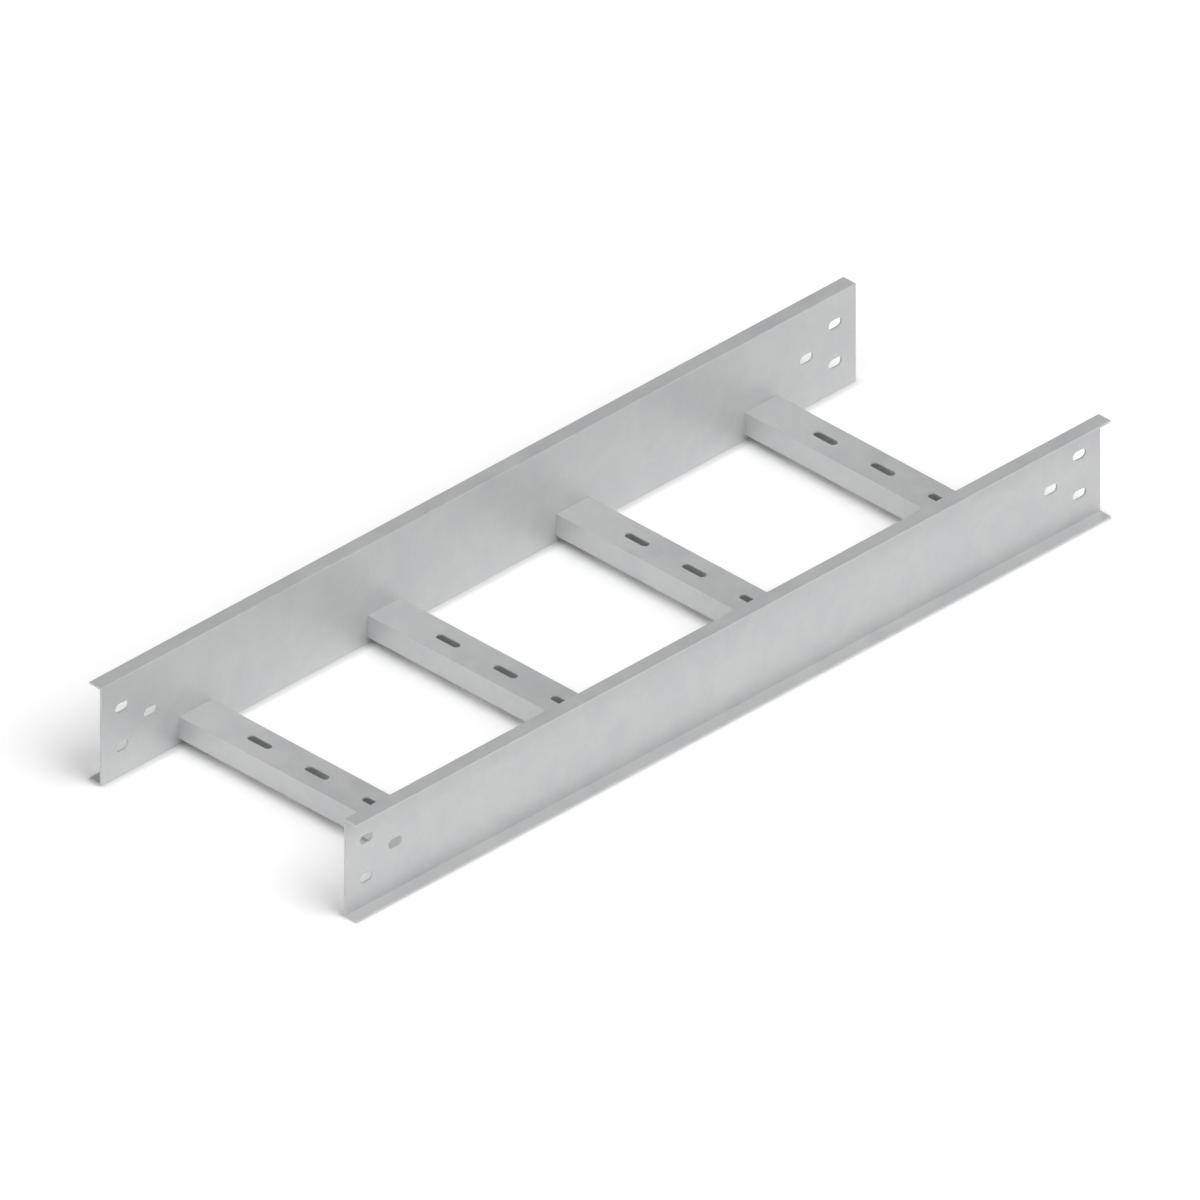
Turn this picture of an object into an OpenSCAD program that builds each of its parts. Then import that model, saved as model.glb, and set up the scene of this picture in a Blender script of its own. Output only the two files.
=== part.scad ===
// Cable ladder section: two side rails folded from sheet, flanges outwards and
// ends slotted for couplers, with four slotted channel rungs welded between their webs.
// The origin is at the middle of the footprint, X runs along the ladder and
// the lower flanges rest on z = 0.

/* [Ladder] */
// Length of the section
ladder_length = 920; // [860:10:3000]
// Clear width between the webs of the side rails
inside_width = 296; // [200:2:900]
// Distance between neighbouring rungs, centre to centre
rung_pitch = 230; // [100:5:240]

/* [Side rails] */
// Height of a rail
rail_height = 100; // [75:1:150]
// Width of a flange, from the inner face of the web to the tip
rail_flange = 15; // [10:0.5:30]
// Thickness of the rail's sheet
rail_sheet = 2; // [1:0.1:3]
// Radius on the inside of the folds between web and flanges
rail_fold_inside = 0.2; // [0.2:0.1:2]
// Radius on the outside of those folds
rail_fold_outside = 0.5; // [0.4:0.1:3]

/* [Coupler slots] */
// Width of a slot
coupler_slot_width = 9; // [6:0.5:12]
// Length of a slot, end to end, along the rail
coupler_slot_length = 16; // [14:0.5:22]
// Distance from the rail's end to the centres of the outer pair of slots
coupler_pair_edge = 25; // [15:1:35]
// Distance between the two slots of the outer pair, centre to centre
coupler_pair_spacing = 40; // [30:1:50]
// Distance from the rail's end to the centre of the single inner slot
coupler_single_edge = 60; // [50:1:70]

/* [Rungs] */
// Width of a rung along the ladder
rung_width = 40; // [35:0.5:60]
// Height of a rung
rung_height = 22.5; // [16:0.1:40]
// Height of a rung's underside above the foot of the rails
rung_lift = 6; // [4:0.1:20]
// Thickness of a rung's sheet
rung_sheet = 1.5; // [1:0.1:2.5]
// Radius on the inside of a rung's folds
rung_fold_inside = 0.2; // [0.2:0.1:2]
// Radius on the outside of a rung's folds
rung_fold_outside = 0.5; // [0.4:0.1:3]

/* [Rung slots] */
// Width of a slot
rung_slot_width = 8; // [5:0.5:12]
// Length of a slot, end to end, across the ladder
rung_slot_length = 27; // [14:0.5:45]
// Distance between neighbouring slots, centre to centre
rung_slot_pitch = 70; // [50:1:80]

/* [Hidden] */
$fn = 48;
// Overshoot of a cutter past the faces that it opens
overshoot = 1;
// Slots on each rung, and rungs on the ladder
rung_slot_count = 3;
rung_count = 4;
// Galvanised steel
rail_colour = [0.76, 0.77, 0.78];
rung_colour = [0.72, 0.73, 0.75];

// Rectangle with its lower left corner at the origin and all corners rounded
module rounded_rect(width, height, radius) {
    translate([radius, 0])
        square([width - 2 * radius, height]);
    translate([0, radius])
        square([width, height - 2 * radius]);
    for (x = [radius, width - radius], y = [radius, height - radius])
        translate([x, y])
            circle(r = radius);
}

// Section of a square tube folded from sheet, its corners at their own radii
module tube_section(width, height, sheet, outside, inside) {
    difference() {
        rounded_rect(width, height, outside);
        translate([sheet, sheet])
            rounded_rect(width - 2 * sheet, height - 2 * sheet, inside);
    }
}

// Slot with round ends, centred, its length along X
module slot(length, width) {
    square([length - width, width], center = true);
    for (side = [-1, 1])
        translate([side * (length - width) / 2, 0])
            circle(d = width);
}

// Open C: one half of a tube that is two flanges wide, web on the left
module rail_section() {
    intersection() {
        tube_section(2 * rail_flange, rail_height, rail_sheet, rail_fold_outside, rail_fold_inside);
        square([rail_flange, rail_height]);
    }
}

// The three slots of one rail end, standing on the XZ plane as cutters along Y
module coupler_cuts() {
    for (side = [-1, 1])
        translate([ladder_length / 2 - coupler_pair_edge, 0, side * coupler_pair_spacing / 2])
            coupler_cut();
    translate([ladder_length / 2 - coupler_single_edge, 0, 0])
        coupler_cut();
}

module coupler_cut() {
    rotate([90, 0, 0])
        linear_extrude(height = 2 * (rail_sheet + overshoot), center = true)
            slot(coupler_slot_length, coupler_slot_width);
}

// Rail with the inner face of its web on y = 0 and its flanges towards +Y
module rail() {
    color(rail_colour)
        difference() {
            rotate([90, 0, 90])
                linear_extrude(height = ladder_length, center = true)
                    rail_section();
            for (end = [0, 1])
                mirror([end, 0, 0])
                    translate([0, 0, rail_height / 2])
                        coupler_cuts();
        }
}

// Channel open at the bottom: the upper half of a tube, centred on x = 0
module rung_section() {
    translate([-rung_width / 2, 0])
        intersection() {
            translate([0, -rung_height])
                tube_section(rung_width, 2 * rung_height, rung_sheet, rung_fold_outside, rung_fold_inside);
            square([rung_width, rung_height]);
        }
}

// Row of slots across the ladder, through the top of a rung
module rung_cuts() {
    for (i = [0 : rung_slot_count - 1])
        translate([0, (i - (rung_slot_count - 1) / 2) * rung_slot_pitch, rung_height])
            rotate([0, 0, 90])
                linear_extrude(height = 2 * (rung_sheet + overshoot), center = true)
                    slot(rung_slot_length, rung_slot_width);
}

// Rung number i, counted from the left end, its ends on the webs of both rails
module rung(i) {
    color(rung_colour)
        translate([(i - (rung_count + 1) / 2) * rung_pitch, 0, rung_lift])
            difference() {
                rotate([90, 0, 0])
                    linear_extrude(height = inside_width, center = true)
                        rung_section();
                rung_cuts();
            }
}

module side_rail_left() {
    translate([0, inside_width / 2, 0])
        rail();
}

module side_rail_right() {
    mirror([0, 1, 0])
        side_rail_left();
}

side_rail_left();
side_rail_right();
rung(1);  // rung_1
rung(2);  // rung_2
rung(3);  // rung_3
rung(4);  // rung_4
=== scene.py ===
import math

import bmesh
import bpy
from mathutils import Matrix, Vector


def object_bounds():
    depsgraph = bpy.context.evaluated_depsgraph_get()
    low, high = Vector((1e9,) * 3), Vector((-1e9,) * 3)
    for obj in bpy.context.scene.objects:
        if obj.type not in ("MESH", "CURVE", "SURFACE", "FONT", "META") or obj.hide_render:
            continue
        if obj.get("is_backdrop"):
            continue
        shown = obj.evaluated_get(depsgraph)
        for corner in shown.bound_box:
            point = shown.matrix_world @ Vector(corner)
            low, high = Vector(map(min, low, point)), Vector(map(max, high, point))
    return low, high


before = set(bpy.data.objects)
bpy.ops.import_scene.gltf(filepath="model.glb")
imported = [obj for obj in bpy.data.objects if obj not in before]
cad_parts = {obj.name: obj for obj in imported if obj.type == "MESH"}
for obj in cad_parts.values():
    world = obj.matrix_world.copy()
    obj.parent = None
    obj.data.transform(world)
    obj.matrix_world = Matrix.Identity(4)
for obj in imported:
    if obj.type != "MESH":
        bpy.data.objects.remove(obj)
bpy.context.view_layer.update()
print("cable ladder: frame loaded")


class Wire:
    # one output of a node; arithmetic on it adds Math nodes behind it
    def __init__(self, socket):
        self.socket = socket

    def combine(self, operation, left, right):
        tree = Tree(self.socket.id_data)
        return tree.node("ShaderNodeMath", {"operation": operation}, {0: left, 1: right})["Value"]

    def __add__(self, other):
        return self.combine("ADD", self, other)

    def __radd__(self, other):
        return self.combine("ADD", other, self)

    def __sub__(self, other):
        return self.combine("SUBTRACT", self, other)

    def __rsub__(self, other):
        return self.combine("SUBTRACT", other, self)

    def __mul__(self, other):
        return self.combine("MULTIPLY", self, other)

    def __rmul__(self, other):
        return self.combine("MULTIPLY", other, self)

    def __pow__(self, other):
        return self.combine("POWER", self, other)

    def __rpow__(self, other):
        return self.combine("POWER", other, self)


class Tree:
    # a node tree that is filled from the texture end to the shader
    def __init__(self, nodeTree):
        self.nodeTree = nodeTree

    def node(self, kind, settings=None, inputs=None):
        made = self.nodeTree.nodes.new(kind)
        for name, value in (settings or {}).items():
            if name == "stops":
                self.setStops(made.color_ramp, value)
            else:
                setattr(made, name, value)
        for name, value in (inputs or {}).items():
            if isinstance(value, Wire):
                self.nodeTree.links.new(value.socket, made.inputs[name])
            else:
                made.inputs[name].default_value = value
        return {out.name: Wire(out) for out in made.outputs if out.enabled}

    def setStops(self, ramp, stops):
        while len(ramp.elements) < len(stops):
            ramp.elements.new(0.5)
        for element, (position, colour) in zip(ramp.elements, stops):
            element.position = position
            element.color = (*colour, 1)


def newMaterial(name):
    material = bpy.data.materials.new(name)
    material.use_nodes = True
    material.node_tree.nodes.clear()
    return material, Tree(material.node_tree)


# Galvanised sheet: matt zinc, softly clouded, with fine grain and faint runs down the upright faces
railZinc = {
    "warmColour": (0.600, 0.611, 0.602),
    "midColour": (0.577, 0.587, 0.590),
    "coolColour": (0.554, 0.562, 0.578),
    "warmFrom": 0.59,
    "midAt": 0.50,
    "coolUpTo": 0.41,
    "cloudScale": 25.0,
    "cloudDetail": 4.0,
    "cloudRough": 0.6,
    "cloudWisp": 0.9,
    "cloudShare": 0.58,
    "runScale": 70.0,
    "runDetail": 2.0,
    "runRough": 0.5,
    "runWisp": 0.4,
    "runStretch": 0.35,
    "runShare": 0.14,
    "grainScale": 430.0,
    "grainDetail": 2.0,
    "grainRough": 0.6,
    "grainWisp": 0.0,
    "grainShare": 0.28,
    "metallic": 0.35,
    "roughness": 0.45,
    "roughnessSpread": 0.3,
    "bump": 0.04,
    "bumpDepth": 0.001,
}
# the rungs' colours are a little lighter than the rails': painted light, standing in for more light on
# the rung faces; they also have smaller clouds and fewer runs
rungZincWithPaintedLight = {
    **railZinc,
    # these lighter rung colours are painted light on the same zinc
    "warmColour": (0.620, 0.630, 0.620),
    "midColour": (0.597, 0.606, 0.609),
    "coolColour": (0.575, 0.582, 0.598),
    "cloudScale": 34.0,
    "cloudShare": 0.62,
    "runShare": 0.1,
}


def zincLayer(tree, place, look, layer):
    return tree.node(
        "ShaderNodeTexNoise",
        inputs={
            "Vector": place,
            "Scale": look[layer + "Scale"],
            "Detail": look[layer + "Detail"],
            "Roughness": look[layer + "Rough"],
            "Distortion": look[layer + "Wisp"],
        },
    )["Fac"] * look[layer + "Share"]


def galvanised(name, look):
    material, tree = newMaterial(name)
    place = tree.node("ShaderNodeTexCoord")["Object"]
    hung = tree.node(
        "ShaderNodeMapping",
        inputs={"Vector": place, "Scale": (1, 1, look["runStretch"])},
    )["Vector"]
    bloom = (
        zincLayer(tree, place, look, "cloud")
        + zincLayer(tree, hung, look, "run")
        + zincLayer(tree, place, look, "grain")
    )
    colour = tree.node(
        "ShaderNodeValToRGB",
        {"stops": [
            (look["coolUpTo"], look["coolColour"]),
            (look["midAt"], look["midColour"]),
            (look["warmFrom"], look["warmColour"]),
        ]},
        {"Fac": bloom},
    )["Color"]
    normal = tree.node(
        "ShaderNodeBump",
        inputs={"Strength": look["bump"], "Distance": look["bumpDepth"], "Height": bloom},
    )["Normal"]
    shader = tree.node(
        "ShaderNodeBsdfPrincipled",
        inputs={
            "Base Color": colour,
            "Metallic": look["metallic"],
            "Roughness": look["roughness"] + (bloom - 0.5) * look["roughnessSpread"],
            "Normal": normal,
        },
    )["BSDF"]
    tree.node("ShaderNodeOutputMaterial", inputs={"Surface": shader})
    return material


finishes = {
    "rail": galvanised("railZinc", railZinc),
    "rung": galvanised("rungZincWithPaintedLight", rungZincWithPaintedLight),
}
for name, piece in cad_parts.items():
    piece.data.materials.clear()
    piece.data.materials.append(finishes["rung" if name.startswith("rung") else "rail"])
print("cable ladder: zinc finish on", len(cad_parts), "pieces")

# White studio paper: its size in metres, its colour in the light and as shown, and the contact shade
paper = {
    "size": 12.0,
    "colour": 0.92,
    "shownColour": 1.14,
    "evenFrom": 0.4,
    "farColour": 1.86,
    "contactReach": 0.0095,
    "contactShade": 0.62,
    "contactCurve": 0.6,
    "contactSamples": 16,
}


def shown(tree):
    # 1 for the rays that show the background: the camera's, and those in gloss and in glass
    ray = tree.node("ShaderNodeLightPath")
    return ray["Is Camera Ray"] + ray["Is Glossy Ray"] + ray["Is Transmission Ray"]


def layPaper(look):
    shape = bmesh.new()
    bmesh.ops.create_grid(shape, x_segments=1, y_segments=1, size=look["size"] / 2)
    mesh = bpy.data.meshes.new("studioPaper")
    shape.to_mesh(mesh)
    shape.free()
    floor = bpy.data.objects.new("studioPaper", mesh)
    bpy.context.scene.collection.objects.link(floor)
    material, tree = newMaterial("studioPaper")
    # a thin shade where the metal stands on the paper, for the camera alone
    clear = tree.node(
        "ShaderNodeAmbientOcclusion",
        {"samples": look["contactSamples"]},
        {"Distance": look["contactReach"]},
    )["AO"]
    contact = (1 - clear) ** look["contactCurve"] * tree.node("ShaderNodeLightPath")["Is Camera Ray"]
    place = tree.node("ShaderNodeTexCoord")["Object"]
    reach = tree.node("ShaderNodeVectorMath", {"operation": "LENGTH"}, {0: place})["Value"]
    # the lamps fall off towards the paper's edges, so its shown colour rises there
    white = tree.node(
        "ShaderNodeMapRange",
        inputs={
            "Value": reach,
            "From Min": look["evenFrom"],
            "From Max": look["size"] / 2,
            "To Min": look["shownColour"],
            "To Max": look["farColour"],
        },
    )["Result"]
    level = look["colour"] + shown(tree) * (white - look["colour"]) - contact * look["contactShade"]
    colour = tree.node(
        "ShaderNodeCombineColor",
        inputs={"Red": level, "Green": level, "Blue": level},
    )["Color"]
    shader = tree.node("ShaderNodeBsdfDiffuse", inputs={"Color": colour})["BSDF"]
    tree.node("ShaderNodeOutputMaterial", inputs={"Surface": shader})
    mesh.materials.append(material)
    floor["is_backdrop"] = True


# Round softboxes: the side each shines from, its distance and diameter in metres, and its power in watts
softboxes = {
    "keySoftbox": {"side": (0.24, -0.96, 1.56), "distance": 9.0, "size": 7.6, "power": 415.0},
    "frontSoftbox": {"side": (0.0, -0.84, 0.55), "distance": 9.0, "size": 8.0, "power": 180.0},
    "leftSoftbox": {"side": (-0.82, 0.0, 0.57), "distance": 9.0, "size": 11.0, "power": 415.0},
    "rightSoftbox": {"side": (0.82, 0.0, 0.57), "distance": 9.0, "size": 9.0, "power": 236.0},
    "backSoftbox": {"side": (0.0, 0.7, 0.71), "distance": 9.0, "size": 8.0, "power": 75.0},
}
# The dim ceiling's level, and how far above the horizon the backdrop is shown white
sky = {
    "level": 0.05,
    "whiteUpTo": 0.12,
    "soft": 0.06,
}


def hangSoftbox(name, look):
    lamp = bpy.data.lights.new(name, "AREA")
    lamp.shape = "DISK"
    lamp.size = look["size"]
    lamp.energy = look["power"]
    softbox = bpy.data.objects.new(name, lamp)
    bpy.context.scene.collection.objects.link(softbox)
    direction = Vector(look["side"]).normalized()
    softbox.location = direction * look["distance"]
    softbox.rotation_mode = "QUATERNION"
    softbox.rotation_quaternion = direction.to_track_quat("Z", "Y")


def makeSky(look):
    # a dim ceiling over a white backdrop that stands a little above the horizon
    world = bpy.data.worlds.new("studioSky")
    bpy.context.scene.world = world
    world.use_nodes = True
    world.node_tree.nodes.clear()
    tree = Tree(world.node_tree)
    direction = tree.node("ShaderNodeTexCoord")["Generated"]
    height = tree.node("ShaderNodeSeparateXYZ", inputs={"Vector": direction})["Z"]
    backdrop = tree.node(
        "ShaderNodeMapRange",
        inputs={
            "Value": height,
            "From Min": look["whiteUpTo"],
            "From Max": look["whiteUpTo"] + look["soft"],
            "To Min": 1.0,
            "To Max": 0.0,
        },
    )["Result"]
    strength = look["level"] + shown(tree) * backdrop * (1 - look["level"])
    light = tree.node(
        "ShaderNodeBackground",
        inputs={"Color": (1, 1, 1, 1), "Strength": strength},
    )["Background"]
    tree.node("ShaderNodeOutputWorld", inputs={"Surface": light})


# Parallel view: angles in degrees, width and distance in metres
view = {
    "azimuth": -45.0,
    "elevation": 32.486,
    "width": 1.0349,
    "distance": 4.0,
}


def placeCamera(look):
    low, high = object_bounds()
    azimuth = math.radians(look["azimuth"])
    elevation = math.radians(look["elevation"])
    back = Vector((
        math.sin(azimuth) * math.cos(elevation),
        -math.cos(azimuth) * math.cos(elevation),
        math.sin(elevation),
    ))
    lens = bpy.data.cameras.new("catalogueCamera")
    lens.type = "ORTHO"
    lens.ortho_scale = look["width"]
    camera = bpy.data.objects.new("catalogueCamera", lens)
    bpy.context.scene.collection.objects.link(camera)
    camera.location = (low + high) / 2 + back * look["distance"]
    camera.rotation_mode = "QUATERNION"
    camera.rotation_quaternion = back.to_track_quat("Z", "Y")
    bpy.context.scene.camera = camera


layPaper(paper)
for name, look in softboxes.items():
    hangSoftbox(name, look)
makeSky(sky)
placeCamera(view)
bpy.context.scene.view_settings.view_transform = "Standard"
print("cable ladder: studio and camera set")
